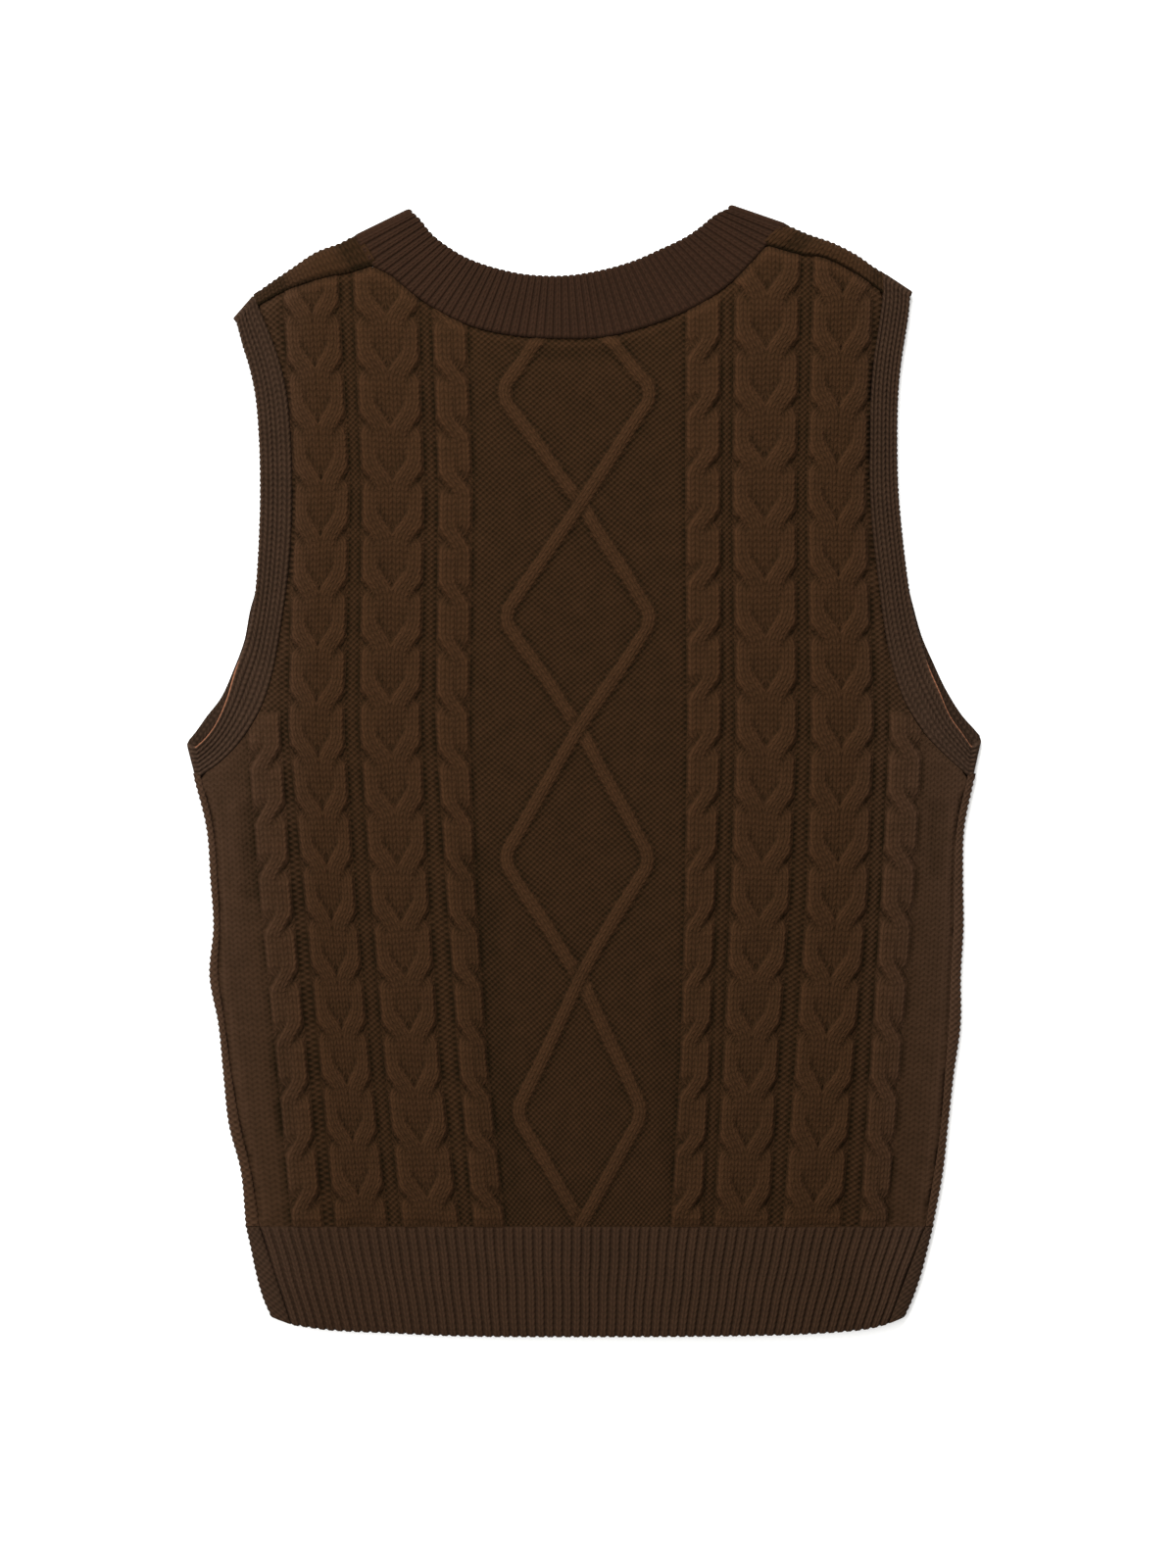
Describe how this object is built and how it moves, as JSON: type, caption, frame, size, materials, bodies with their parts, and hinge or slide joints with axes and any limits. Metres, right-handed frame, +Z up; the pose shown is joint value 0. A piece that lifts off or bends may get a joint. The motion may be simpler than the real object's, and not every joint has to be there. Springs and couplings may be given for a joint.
{
  "type": "knitted sweater vest",
  "caption": "Sleeveless cable-knit sweater vest laid flat with its back up: ribbed neckband, armbands and hem, rope and horseshoe cables, diamond cords.",
  "frame": {"origin": "on the surface that the vest lies on, under the middle of its outline", "axes": "+Z up from the surface through the front to the back of the vest, +Y from the hem to the neck, +X to the right as seen from above with the neck away from the viewer"},
  "size_m": [0.4386, 0.6238, 0.0094],
  "materials": {
    "cable_knit": "matte plied acrylic and wool yarn, cable knit",
    "rib_knit": "matte plied acrylic and wool yarn, one by one rib",
    "band_knit": "matte plied acrylic and wool yarn, rib along the band"
  },
  "bodies": {
    "root": {"back_panel": "cable_knit", "front_panel": "cable_knit", "back_hem_rib": "rib_knit", "front_hem_rib": "rib_knit", "neckband": "rib_knit", "armband_left": "band_knit", "armband_right": "band_knit"}
  },
  "joints": []
}
